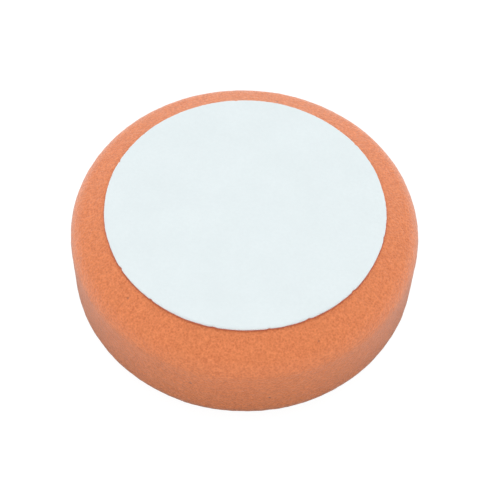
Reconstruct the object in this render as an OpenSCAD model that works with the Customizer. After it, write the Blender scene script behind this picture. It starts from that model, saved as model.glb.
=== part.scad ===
// Foam polishing pad with a loop-fabric backing for a hook-faced backing plate.
// Millimetres. The origin is the centre of the polishing face, on the surface that the
// pad rests on. +Z runs up the spin axis towards the loop backing.

/* [Pad] */
// Outer diameter, measured at the straight side wall
pad_d = 150; // [145:1:180]
// Height of the whole pad, from the polishing face to the tops of the loops
pad_h = 50; // [40:1:60]

/* [Foam] */
// How far the shoulder slopes down between the flat top and the side wall
shoulder_drop = 6.5; // [4:0.5:14]
// Radius that blends the shoulder into the side wall
shoulder_r = 10.5; // [2:0.5:14]
// Radius of the edge between the side wall and the polishing face
face_edge_r = 11; // [3:0.5:12]

/* [Loop backing] */
// Diameter of the loop fabric, which covers the flat top of the foam
loop_d = 120; // [100:1:125]
// Thickness of the hot-melt film between the foam and the fabric
film_t = 0.2; // [0.1:0.05:0.4]
// Thickness of the knitted ground of the loop fabric
ground_t = 0.4; // [0.3:0.05:0.8]
// Height of the brushed loops above their ground
pile_t = 0.9; // [0.5:0.1:1.6]

/* [Hidden] */
$fn = 180;

pad_r = pad_d / 2;
loop_r = loop_d / 2;

// The layers are stacked from the foam's flat top upwards
foam_top_z = pad_h - film_t - ground_t - pile_t;
ground_z = foam_top_z + film_t;
pile_z = ground_z + ground_t;

// Where the slope and the side wall would meet if their corner were sharp
shoulder_z = foam_top_z - shoulder_drop;
slope_len = norm([pad_r - loop_r, shoulder_drop]);
// Unit vector up the slope, from that corner towards the flat top
up_slope = [loop_r - pad_r, shoulder_drop] / slope_len;
// Angle through which the outline turns at the shoulder
shoulder_turn = acos(up_slope[1]);
// Length that the blend takes off the slope and off the wall
shoulder_cut = shoulder_r * tan(shoulder_turn / 2);

// One flat layer as wide as the loop fabric
module layer(z, thickness) {
    translate([0, 0, z])
        cylinder(r = loop_r, h = thickness);
}

// Half of the foam's outline, with its two corners blended by true arcs. Each arc's circle
// touches both sides of its corner, so it only adds the stretch past the straight cut.
module foam_outline() {
    shoulder_corner = [pad_r, shoulder_z];
    polygon([
        [0, 0],
        [pad_r - face_edge_r, 0],
        [pad_r, face_edge_r],
        shoulder_corner - [0, shoulder_cut],
        shoulder_corner + shoulder_cut * up_slope,
        [loop_r, foam_top_z],
        [0, foam_top_z],
    ]);
    translate([pad_r - face_edge_r, face_edge_r])
        circle(r = face_edge_r);
    translate(shoulder_corner - [shoulder_r, shoulder_cut])
        circle(r = shoulder_r);
}

// One piece of open-cell foam: polishing face below, flat top for the backing above
module foam_body() {
    color([0.89, 0.55, 0.37])
        rotate_extrude()
            foam_outline();
}

// Hot-melt film that bonds the fabric to the foam
module adhesive_film() {
    color([0.66, 0.35, 0.22])
        layer(foam_top_z, film_t);
}

// Knitted ground of the loop fabric
module loop_ground_cloth() {
    color([0.87, 0.90, 0.91])
        layer(ground_z, ground_t);
}

// Brushed loops that the hooks of a backing plate hold
module loop_pile() {
    color([0.92, 0.95, 0.96])
        layer(pile_z, pile_t);
}

foam_body();
adhesive_film();
loop_ground_cloth();
loop_pile();
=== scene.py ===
import math

import bpy
import numpy as np
from mathutils import Matrix, Vector, noise


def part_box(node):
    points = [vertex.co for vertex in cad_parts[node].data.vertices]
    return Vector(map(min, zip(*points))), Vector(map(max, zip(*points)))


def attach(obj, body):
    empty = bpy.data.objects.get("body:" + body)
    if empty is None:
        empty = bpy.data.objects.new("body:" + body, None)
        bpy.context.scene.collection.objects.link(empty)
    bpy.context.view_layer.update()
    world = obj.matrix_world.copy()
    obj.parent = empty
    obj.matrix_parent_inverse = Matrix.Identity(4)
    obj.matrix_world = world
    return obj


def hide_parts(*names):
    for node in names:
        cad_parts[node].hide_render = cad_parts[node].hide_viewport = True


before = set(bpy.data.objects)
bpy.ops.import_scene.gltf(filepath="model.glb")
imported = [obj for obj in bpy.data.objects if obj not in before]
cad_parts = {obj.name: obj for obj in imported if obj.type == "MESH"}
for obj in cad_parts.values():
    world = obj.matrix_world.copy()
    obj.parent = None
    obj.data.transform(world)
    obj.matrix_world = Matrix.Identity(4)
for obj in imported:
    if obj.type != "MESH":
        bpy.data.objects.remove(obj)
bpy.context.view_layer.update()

# ---------------------------------------------------------------- sizes, in metres
MM = 0.001

FOAM_LOW, FOAM_HIGH = (Vector(corner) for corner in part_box("foam_body"))
FILM_LOW, FILM_HIGH = (Vector(corner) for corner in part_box("adhesive_film"))
CLOTH_LOW, CLOTH_HIGH = (Vector(corner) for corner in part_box("loop_ground_cloth"))
PILE_LOW, PILE_HIGH = (Vector(corner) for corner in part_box("loop_pile"))

PAD_R = FOAM_HIGH.x
FOAM_TOP = FOAM_HIGH.z
PAD_TOP = PILE_HIGH.z
LOOP_R = PILE_HIGH.x

# The foam's outline, as in the CAD model
SHOULDER_DROP = 6.5 * MM
SHOULDER_R = 10.5 * MM
FACE_EDGE_R = 11 * MM

# The glue draws the foam down a little where the fabric ends
CREVICE_DEPTH = 0.22 * MM
CREVICE_WIDTH = 0.7 * MM
# The foam is hidden inside this radius, under the fabric
FOAM_HIDDEN_R = LOOP_R - 2.5 * MM

# Mesh spacing
FACE_INSET = 0.8 * MM
FOAM_SEGMENTS = 720
FOAM_RINGS = 104
FACE_SEGMENTS = FOAM_SEGMENTS // 2
PILE_SEGMENTS = 720
RIM_SEGMENTS = 360


# ---------------------------------------------------------------- mesh helpers
class Shape:
    """Collects points and faces, then makes a mesh object of them."""

    def __init__(self):
        self.points = []
        self.faces = []
        self.count = 0

    def add(self, points):
        """Adds an array of points and returns their indices in the same order."""
        start = self.count
        self.points.append(np.asarray(points, float).reshape(-1, 3))
        self.count += len(self.points[-1])
        return np.arange(start, self.count)

    def strip(self, below, above):
        """Joins two closed rings of as many points, the second above or inside the first."""
        ends = np.stack([below, np.roll(below, -1), np.roll(above, -1), above], axis=1)
        self.faces.extend(ends.tolist())

    def halving_strip(self, outer, inner):
        """Joins a closed ring to one inside it that has half as many points, facing down."""
        start, middle, end = outer[::2], outer[1::2], np.roll(outer[::2], -1)
        inner_end = np.roll(inner, -1)
        for fan in ((start, inner, middle), (middle, inner, inner_end), (middle, inner_end, end)):
            self.faces.extend(np.stack(fan, axis=1).tolist())

    def cap(self, ring, upwards):
        """Closes a ring with one flat face."""
        self.faces.append([int(i) for i in (ring if upwards else ring[::-1])])

    def disc(self, ring, place, upwards):
        """Fills a ring of 8n points with an even grid, a square that is mapped onto the disc."""
        n = len(ring) // 4
        ticks = np.linspace(-1, 1, n + 1)
        a, b = np.meshgrid(ticks, ticks, indexing="ij")
        wide = np.abs(a) > np.abs(b)
        radius = np.where(wide, a, b)
        with np.errstate(divide="ignore", invalid="ignore"):
            turn = np.where(wide, b / a, 2 - a / b) * math.pi / 4
        turn[n // 2, n // 2] = 0
        inner = np.ones((n + 1, n + 1), bool)
        inner[0, :] = inner[-1, :] = inner[:, 0] = inner[:, -1] = False
        index = np.zeros((n + 1, n + 1), int)
        index[inner] = self.add(place(radius[inner], turn[inner]))
        # The square's sides, in the order of the ring's angle, which starts at its corner
        index[n, :n] = ring[:n]
        index[n:0:-1, n] = ring[n:2 * n]
        index[0, n:0:-1] = ring[2 * n:3 * n]
        index[:n, 0] = ring[3 * n:]
        corners = [index[:-1, :-1], index[1:, :-1], index[1:, 1:], index[:-1, 1:]]
        quads = np.stack([c.ravel() for c in corners], axis=1)
        self.faces.extend((quads if upwards else quads[:, ::-1]).tolist())

    def make(self, name):
        """Makes the mesh object and puts it in the scene."""
        mesh = bpy.data.meshes.new(name)
        mesh.from_pydata(np.concatenate(self.points).tolist(), [], self.faces)
        mesh.validate()
        mesh.shade_smooth()
        made = bpy.data.objects.new(name, mesh)
        bpy.context.scene.collection.objects.link(made)
        return made


def ring_angles(segments):
    """Angles round a ring. They start at -45 degrees, the corner of Shape.disc's square."""
    return -math.pi / 4 + np.arange(segments) * 2 * math.pi / segments


def ring_points(radius, height, angles):
    """Points round a ring whose radius and height may vary with the angle."""
    radius = np.broadcast_to(radius, angles.shape)
    height = np.broadcast_to(height, angles.shape)
    return np.stack([radius * np.cos(angles), radius * np.sin(angles), height], axis=1)


def lumps(points, size, seed):
    """Smooth noise from about -1 to 1, with features of the given size."""
    shift = Vector((seed * 7.3, seed * 3.1, seed * 5.7))
    return np.array([noise.noise(Vector(p) / size + shift) for p in points])


# ---------------------------------------------------------------- outlines
def arc(centre, radius, start, end, count=24):
    """Points on an arc in the (radius, height) plane, from one angle in degrees to another."""
    turns = np.radians(np.linspace(start, end, count))
    return np.stack([centre[0] + radius * np.cos(turns), centre[1] + radius * np.sin(turns)], axis=1)


def foam_outline():
    """Half of the foam's outline, from the edge of the polishing face up to the fabric."""
    run = PAD_R - LOOP_R
    tilt = math.atan2(SHOULDER_DROP, run)
    cut = SHOULDER_R * math.tan((math.pi / 2 - tilt) / 2)
    shoulder_z = FOAM_TOP - SHOULDER_DROP
    edge = arc((PAD_R - FACE_EDGE_R, FACE_EDGE_R), FACE_EDGE_R, -90, 0)
    shoulder = arc((PAD_R - SHOULDER_R, shoulder_z - cut), SHOULDER_R, 0, 90 - math.degrees(tilt))
    slope_start = shoulder[-1]
    slope_r = np.linspace(slope_start[0], FOAM_HIDDEN_R, 80)
    slope_z = FOAM_TOP - (slope_r - LOOP_R) * math.tan(tilt)
    slope_z = np.minimum(slope_z, FOAM_TOP)
    past_rim = (slope_r - LOOP_R) / CREVICE_WIDTH
    slope_z -= CREVICE_DEPTH * np.exp(-past_rim**2)
    return np.concatenate([edge, shoulder, np.stack([slope_r, slope_z], axis=1)[1:]])


def even_steps(outline, count):
    """The same outline with its points evenly spaced."""
    steps = np.linalg.norm(np.diff(outline, axis=0), axis=1)
    along = np.concatenate([[0], np.cumsum(steps)])
    at = np.linspace(0, along[-1], count)
    return np.stack([np.interp(at, along, outline[:, 0]), np.interp(at, along, outline[:, 1])], axis=1)


# Small nicks in the cut edge of the fabric: angle and half width in degrees, depth in millimetres
NICKS = [(-147, 1.1, 0.45), (-128, 0.8, 0.35), (-100.5, 0.8, 0.5), (-79, 0.7, 0.4), (-63, 1.3, 0.35), (-41, 0.9, 0.4),
         (-12, 1.2, 0.3), (38, 1.0, 0.35), (96, 0.8, 0.3), (158, 0.9, 0.4)]


def cut_edge(angles, raggedness, seed):
    """Radius of the fabric's cut edge. All layers share the wander of the cutter and its nicks."""
    around = ring_points(1.0, 0.0, angles)
    radius = LOOP_R - 0.2 * MM + 0.22 * MM * lumps(around, 0.45, 11)
    radius += 0.12 * MM * lumps(around, 0.13, 12) + 0.08 * MM * lumps(around, 0.05, 13)
    for place, half_width, depth in NICKS:
        off = (np.degrees(angles) - place + 180) % 360 - 180
        radius -= depth * MM * np.clip(1 - np.abs(off) / half_width, 0, 1)
    return radius + raggedness * lumps(around, 0.018, seed)


# ---------------------------------------------------------------- pieces
def make_foam_body():
    """The whole foam, from its flat polishing face up to the hidden seat under the fabric."""
    outline = even_steps(foam_outline(), FOAM_RINGS)
    tangent = np.gradient(outline, axis=0)
    normal = np.stack([tangent[:, 1], -tangent[:, 0]], axis=1)
    normal /= np.linalg.norm(normal, axis=1)[:, None]
    angles = ring_angles(FOAM_SEGMENTS)
    foam = Shape()
    rings = []
    for (r, z), (nr, nz) in zip(outline, normal):
        points = ring_points(r, z, angles)
        outwards = ring_points(nr, nz, angles)
        rings.append(foam.add(points + outwards * foam_relief(points)[:, None]))
    for below, above in zip(rings, rings[1:]):
        foam.strip(below, above)
    foam.cap(rings[-1], upwards=True)

    face_r = outline[0][0] - FACE_INSET
    flat_ring = ring_points(face_r, 0.0, ring_angles(FACE_SEGMENTS))
    inner = foam.add(flat_ring + face_dips(flat_ring))
    foam.halving_strip(rings[0], inner)

    def place(radius, turn):
        flat = np.stack([radius * np.cos(turn), radius * np.sin(turn), np.zeros_like(radius)], axis=1)
        flat *= face_r
        return flat + face_dips(flat)

    foam.disc(inner, place, upwards=False)
    return foam.make("foam_pad")


def foam_relief(points):
    """How far the cut foam stands out from its true outline: slow waves and shallow dimples."""
    waves = 0.16 * MM * lumps(points, 22 * MM, 1)
    dents = 0.09 * MM * lumps(points, 4.5 * MM, 2)
    grain = 0.085 * MM * lumps(points, 1.8 * MM, 3)
    above_floor = np.clip(points[:, 2] / (3 * MM), 0, 1)
    return (waves + dents) * above_floor + grain - (1 - above_floor) * 0.06 * MM


def face_dips(points):
    """The polishing face only dips up from the floor, by a few hundredths of a millimetre."""
    up = 0.03 * MM * (1 + lumps(points, 1.7 * MM, 3)) + 0.05 * MM * (1 + lumps(points, 8 * MM, 4))
    return np.stack([np.zeros_like(up), np.zeros_like(up), up], axis=1)


def make_rim_layer(name, low, high, inset, raggedness, seed):
    """A thin layer under the loops. Only its cut edge shows, so its faces are flat."""
    angles = ring_angles(RIM_SEGMENTS)
    layer = Shape()
    rings = []
    for share, pull in ((0.0, 0.12), (0.25, 0.0), (0.75, 0.0), (1.0, 0.12)):
        radius = cut_edge(angles, raggedness, seed + share) - inset - pull * MM
        rings.append(layer.add(ring_points(radius, low + (high - low) * share, angles)))
    for below, above in zip(rings, rings[1:]):
        layer.strip(below, above)
    layer.cap(rings[-1], upwards=True)
    layer.cap(rings[0], upwards=False)
    return layer.make(name)


def make_pile():
    """The brushed loops as one napped layer, rounded over at its cut edge."""
    angles = ring_angles(PILE_SEGMENTS)
    height = PILE_HIGH.z - PILE_LOW.z
    pile = Shape()
    rings = []
    # Share of the height, how far the ring is drawn in, and how ragged it is
    for share, pull, ragged in ((0.0, 0.10, 0.04), (0.3, 0.0, 0.10), (0.55, 0.03, 0.12), (0.78, 0.16, 0.10),
                                (0.93, 0.38, 0.06), (1.0, 0.75, 0.03)):
        radius = cut_edge(angles, ragged * MM, 21 + share) - pull * MM
        points = ring_points(radius, PILE_LOW.z + height * share, angles)
        points[:, 2] += nap(points) * share
        rings.append(pile.add(points))
    for below, above in zip(rings, rings[1:]):
        pile.strip(below, above)
    pile.cap(rings[0], upwards=False)
    rim = np.concatenate(pile.points)[rings[-1]]
    rim_r = np.hypot(rim[:, 0], rim[:, 1])

    def place(radius, turn):
        turn = np.where(radius < 0, turn + math.pi, turn)
        radius = np.abs(radius)
        start = -math.pi / 4
        reach = np.interp((turn - start) % (2 * math.pi), angles - start, rim_r, period=2 * math.pi)
        flat = np.stack([reach * radius * np.cos(turn), reach * radius * np.sin(turn),
                         np.full_like(radius, PAD_TOP)], axis=1)
        flat[:, 2] += nap(flat)
        return flat

    pile.disc(rings[-1], place, upwards=True)
    return pile.make("loop_nap")


def nap(points):
    """Unevenness of the brushed surface. It never stands above the loops' full height."""
    tufts = 0.05 * MM * (lumps(points, 1.3 * MM, 31) - 0.6)
    drifts = 0.05 * MM * (lumps(points, 9 * MM, 32) - 0.6)
    return tufts + drifts


# ---------------------------------------------------------------- materials
FLOOR_GLOW = 0.93


class Nodes:
    """Adds and joins the nodes of one material or world."""

    def __init__(self, owner, shader="Principled BSDF"):
        owner.use_nodes = True
        self.owner = owner
        self.tree = owner.node_tree
        self.shader = self.tree.nodes[shader]

    def add(self, kind, inputs=None, **settings):
        node = self.tree.nodes.new(kind)
        for key, value in settings.items():
            setattr(node, key, value)
        for key, value in (inputs or {}).items():
            self.set(node.inputs[key], value)
        return node

    def set(self, socket, value):
        if isinstance(value, bpy.types.NodeSocket):
            self.tree.links.new(value, socket)
        else:
            socket.default_value = value

    def surface(self, **inputs):
        for key, value in inputs.items():
            self.set(self.shader.inputs[key.replace("_", " ")], value)

    def position(self):
        return self.add("ShaderNodeTexCoord").outputs["Object"]

    def noise(self, at, size, detail=2.0, roughness=0.5):
        """Noise with features of the given size, in metres, from about 0 to 1."""
        return self.add("ShaderNodeTexNoise", {
            "Vector": at, "Scale": 1 / size, "Detail": detail, "Roughness": roughness,
        })

    def cells(self, at, size):
        """Cells of the given size, in metres, with each point's distance to its cell's middle."""
        return self.add("ShaderNodeTexVoronoi", {"Vector": at, "Scale": 1 / size})

    def math(self, operation, a, b=0.0):
        return self.add("ShaderNodeMath", {0: a, 1: b}, operation=operation).outputs[0]

    def span(self, value, low, high, to_low=0.0, to_high=1.0):
        """Maps low..high onto to_low..to_high, and holds the ends."""
        return self.add("ShaderNodeMapRange", {
            "Value": value, "From Min": low, "From Max": high, "To Min": to_low, "To Max": to_high,
        }).outputs["Result"]

    def mix(self, factor, a, b):
        node = self.add("ShaderNodeMix", data_type="RGBA")
        self.set(node.inputs["Factor"], factor)
        self.set(node.inputs["A"], a)
        self.set(node.inputs["B"], b)
        return node.outputs["Result"]

    def bump(self, height, distance, strength):
        return self.add("ShaderNodeBump", {
            "Height": height, "Distance": distance, "Strength": strength,
        }).outputs["Normal"]


def rgb(red, green, blue):
    """A colour given as 0 to 255 on screen, as the linear values that nodes take."""
    def linear(value):
        value /= 255
        return value / 12.92 if value <= 0.04045 else ((value + 0.055) / 1.055) ** 2.4
    return (linear(red), linear(green), linear(blue), 1.0)


def foam_material():
    """Matte orange open-cell foam: fine cells, faint mottling and a few deeper pores, with painted light on the cell
    walls and painted shade in the hollows and pores.
    """
    m = Nodes(bpy.data.materials.new("orange_open_cell_foam"))
    at = m.position()
    jitter = m.noise(at, 0.9 * MM, detail=1.0).outputs["Color"]
    offset = m.add("ShaderNodeVectorMath", {0: jitter, "Scale": 0.5 * MM}, operation="SCALE").outputs[0]
    warped = m.add("ShaderNodeVectorMath", {0: at, 1: offset}, operation="ADD").outputs[0]

    cells = m.cells(warped, 1.0 * MM).outputs["Distance"]
    fine = m.noise(at, 0.6 * MM, detail=2.0, roughness=0.6).outputs["Fac"]
    clumps = m.noise(at, 1.8 * MM, detail=2.0).outputs["Fac"]
    drifts = m.noise(at, 14 * MM, detail=2.0).outputs["Fac"]

    # Pores: dots round the feature points that lie close to the surface
    pore_cells = m.cells(at, 6.5 * MM)
    pore_size = m.add("ShaderNodeSeparateColor", {"Color": pore_cells.outputs["Color"]})
    pore_reach = m.span(pore_size.outputs["Red"], 0.35, 1.0, 0.0, 0.10)
    pore_gap = m.math("SUBTRACT", pore_cells.outputs["Distance"], pore_reach)
    pores = m.span(pore_gap, -0.04, 0.02, 1.0, 0.0)

    # Painted light and shade: the cell walls are painted lighter, as if catching the light, and the hollows between
    # them painted darker
    colour = m.mix(m.span(cells, 0.1, 0.75), rgb(192, 97, 42), rgb(229, 131, 74))
    colour = m.mix(m.span(fine, 0.35, 0.65, 0.0, 0.55), colour, rgb(185, 91, 39))
    colour = m.mix(m.span(clumps, 0.35, 0.65, 0.0, 0.2), colour, rgb(244, 147, 90))
    colour = m.mix(m.span(drifts, 0.35, 0.65, 0.0, 0.15), colour, rgb(203, 119, 62))
    # Painted shade: the pores are painted dark brown for the shade inside them, and the bump also dents them
    colour = m.mix(m.math("MULTIPLY", pores, 0.55), colour, rgb(121, 56, 24))

    height = m.math("ADD", m.math("MULTIPLY", cells, 0.7), m.math("MULTIPLY", fine, 0.5))
    height = m.math("SUBTRACT", height, m.math("MULTIPLY", pores, 1.2))
    m.surface(
        Base_Color=colour,
        Roughness=m.span(fine, 0.3, 0.7, 0.5, 0.62),
        Normal=m.bump(height, 0.5 * MM, 0.6),
        Specular_IOR_Level=0.5, Sheen_Weight=0.34, Sheen_Roughness=0.5,
    )
    return m.owner


def loop_material():
    """Pale bluish-white brushed loops."""
    m = Nodes(bpy.data.materials.new("pale_brushed_loops"))
    at = m.position()
    tufts = m.cells(at, 0.7 * MM).outputs["Distance"]
    hairs = m.noise(at, 0.3 * MM, detail=3.0, roughness=0.65).outputs["Fac"]
    clumps = m.noise(at, 1.4 * MM, detail=1.0).outputs["Fac"]
    drifts = m.noise(at, 16 * MM, detail=3.0).outputs["Fac"]
    colour = m.mix(m.span(drifts, 0.3, 0.7), rgb(216, 225, 227), rgb(219, 228, 230))
    colour = m.mix(m.span(clumps, 0.35, 0.65, 0.0, 0.12), colour, rgb(203, 213, 216))
    colour = m.mix(m.span(hairs, 0.3, 0.7, 0.0, 0.2), colour, rgb(205, 213, 215))
    height = m.math("ADD", m.math("MULTIPLY", tufts, 0.5), hairs)
    m.surface(
        Base_Color=colour,
        Roughness=m.span(hairs, 0.3, 0.7, 0.88, 0.98),
        Normal=m.bump(height, 0.15 * MM, 0.25),
        Specular_IOR_Level=0.2, Sheen_Weight=0.15, Sheen_Roughness=0.5,
    )
    return m.owner


def ground_material():
    """The knitted ground, seen as rows of stitches at its cut edge."""
    m = Nodes(bpy.data.materials.new("knitted_ground"))
    at = m.position()
    stitches = m.cells(at, 0.5 * MM).outputs["Distance"]
    colour = m.mix(m.span(stitches, 0.1, 0.7), rgb(186, 192, 194), rgb(222, 229, 231))
    m.surface(
        Base_Color=colour,
        Roughness=m.span(stitches, 0.1, 0.7, 0.95, 0.85),
        Normal=m.bump(stitches, 0.2 * MM, 0.6),
        Specular_IOR_Level=0.25,
    )
    return m.owner


def film_material():
    """Amber hot-melt glue, clouded by the foam it soaks into. Its dark rim past the fabric's edge is partly the glue
    line and partly painted shade of the crevice under that edge.
    """
    m = Nodes(bpy.data.materials.new("cloudy_hot_melt"))
    at = m.position()
    clouds = m.noise(at, 1.5 * MM, detail=2.0).outputs["Fac"]
    colour = m.mix(m.span(clouds, 0.3, 0.7), rgb(184, 92, 66), rgb(204, 106, 76))
    m.surface(
        Base_Color=colour,
        Roughness=m.span(clouds, 0.3, 0.7, 0.35, 0.55),
        Normal=m.bump(clouds, 0.1 * MM, 0.3),
    )
    return m.owner


def floor_material():
    """A white sheet lit from below."""
    m = Nodes(bpy.data.materials.new("lit_white_table"))
    grain = m.noise(m.position(), 3 * MM, detail=3.0).outputs["Fac"]
    m.surface(
        Base_Color=m.mix(grain, rgb(100, 100, 100), rgb(106, 106, 106)),
        Roughness=1.0, Specular_IOR_Level=0.0,
        Emission_Color=(1, 1, 1, 1), Emission_Strength=FLOOR_GLOW,
    )
    return m.owner


def card_material():
    """Matte black card."""
    m = Nodes(bpy.data.materials.new("black_card"))
    m.surface(Base_Color=rgb(20, 20, 20), Roughness=1.0, Specular_IOR_Level=0.0)
    return m.owner


def dress(piece, material, slot, *nodes):
    """Gives a piece its material, and its place in the frame."""
    piece.data.materials.append(material)
    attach(piece, "root")
    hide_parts(*nodes)


foam = make_foam_body()
dress(foam, foam_material(), "foam", "foam_body")

# The film stands 0.25 mm past the fabric's cut edge; its dark rim there is partly glue line and partly painted shade
# under that edge
film = make_rim_layer("glue_film", FILM_LOW.z, FILM_HIGH.z, -0.25 * MM, 0.12 * MM, 51)
dress(film, film_material(), "hot_melt_film", "adhesive_film")

pile = make_pile()
dress(pile, loop_material(), "loop_pile", "loop_pile")

cloth = make_rim_layer("knitted_ground_cloth", CLOTH_LOW.z, CLOTH_HIGH.z, 0.05 * MM, 0.06 * MM, 41)
dress(cloth, ground_material(), "loop_ground", "loop_ground_cloth")


# ---------------------------------------------------------------- floor, light and camera
FLOOR_HALF = 4.0
CARD_R = 115 * MM
CARD_DEPTH = 0.3 * MM
CARD_SEGMENTS = 64


def make_floor():
    """A wide white floor. It glows for the camera only, so it doesn't light the pad from below."""
    mesh = bpy.data.meshes.new("floor")
    corners = [(x * FLOOR_HALF, y * FLOOR_HALF, 0) for x, y in ((-1, -1), (1, -1), (1, 1), (-1, 1))]
    mesh.from_pydata(corners, [], [(0, 1, 2, 3)])
    floor = bpy.data.objects.new("floor", mesh)
    floor.data.materials.append(floor_material())
    bpy.context.scene.collection.objects.link(floor)
    floor.visible_diffuse = False
    floor.visible_glossy = False


def make_black_card():
    """A black card just under the floor shades the foot of the pad. The camera doesn't see it."""
    mesh = bpy.data.meshes.new("black_card")
    rim = ring_points(CARD_R, -CARD_DEPTH, ring_angles(CARD_SEGMENTS))
    mesh.from_pydata(rim.tolist(), [], [list(range(CARD_SEGMENTS))])
    card = bpy.data.objects.new("black_card", mesh)
    card.data.materials.append(card_material())
    card.visible_camera = False
    bpy.context.scene.collection.objects.link(card)


# The studio tent is lit below the horizon, with a brighter band along it
TENT_BELOW = 0.6
TENT_BAND = 0.3
BAND_WIDTH = 0.25
# Wide glows in the tent: where, how tightly gathered, and how bright. Both sides are alike.
GLOWS = [
    ((0, 0.5, 0.85), 6, 2.5),   # overhead, behind the pad
    ((0, -0.85, 0.5), 6, 1.5),  # overhead, towards the camera
    ((0, -1, 0), 3, 0.5),       # low in front
    ((0, 1, 0), 3, 0.8),        # low behind
    ((-1, 0, 0.2), 3, 1.1),     # left
    ((1, 0, 0.2), 3, 1.1),      # right
]
SOFTBOX_WATTS = 0.5
SOFTBOX_SIZE = 1.1
SOFTBOX_PLACE = Vector((-0.25, 0.1, 1.1))


def make_tent():
    """Soft light from all round: a bright band at the horizon and a few wide glows."""
    tent = Nodes(bpy.data.worlds.new("studio_tent"), "Background")
    bpy.context.scene.world = tent.owner
    direction = tent.add("ShaderNodeTexCoord").outputs["Generated"]
    height = tent.add("ShaderNodeSeparateXYZ", {0: direction}).outputs["Z"]
    light = tent.span(height, -0.1, 0.1, TENT_BELOW, 0.0)
    steepness = tent.math("DIVIDE", height, BAND_WIDTH)
    band = tent.math("EXPONENT", tent.math("MULTIPLY", tent.math("MULTIPLY", steepness, steepness), -1.0))
    light = tent.math("ADD", light, tent.math("MULTIPLY", band, TENT_BAND))
    for towards, tightness, strength in GLOWS:
        facing = tent.add("ShaderNodeVectorMath", {0: direction, 1: Vector(towards).normalized()},
                          operation="DOT_PRODUCT").outputs["Value"]
        glow = tent.math("POWER", tent.math("MAXIMUM", facing, 0.0), float(tightness))
        light = tent.math("ADD", light, tent.math("MULTIPLY", glow, strength))
    tent.surface(Color=(1, 1, 1, 1), Strength=light)


def make_softbox():
    """A faint round lamp overhead, aimed at the pad."""
    lamp = bpy.data.lights.new("softbox", "AREA")
    lamp.shape = "DISK"
    lamp.size = SOFTBOX_SIZE
    lamp.energy = SOFTBOX_WATTS
    softbox = bpy.data.objects.new("softbox", lamp)
    softbox.location = SOFTBOX_PLACE
    softbox.rotation_euler = (-SOFTBOX_PLACE).to_track_quat("-Z", "Y").to_euler()
    bpy.context.scene.collection.objects.link(softbox)


ELEVATION = math.radians(55.66)
ROLL = math.radians(2.23)
DISTANCE = 570.3 * MM
LENS_MM = 95.12
SENSOR_MM = 36
# The aim is a little below and to the right of the pad's middle, in the picture's own directions
AIM_RIGHT = 0.51 * MM
AIM_UP = -2.04 * MM


def make_camera():
    """Looks down at the pad from the front, tilted a little in the picture's own plane."""
    forward = Vector((0, math.cos(ELEVATION), -math.sin(ELEVATION)))
    turn = forward.to_track_quat("-Z", "Y").to_matrix() @ Matrix.Rotation(ROLL, 3, "Z")
    middle = Vector((0, 0, PAD_TOP / 2))
    aim = middle + turn @ Vector((AIM_RIGHT, AIM_UP, 0))
    camera = bpy.data.objects.new("camera", bpy.data.cameras.new("camera"))
    camera.data.lens = LENS_MM
    camera.data.sensor_width = SENSOR_MM
    camera.data.clip_start = 10 * MM
    camera.matrix_world = Matrix.Translation(aim - forward * DISTANCE) @ turn.to_4x4()
    bpy.context.scene.collection.objects.link(camera)
    bpy.context.scene.camera = camera


make_floor()
make_black_card()
make_tent()
make_softbox()
make_camera()
bpy.context.scene.view_settings.view_transform = "Standard"
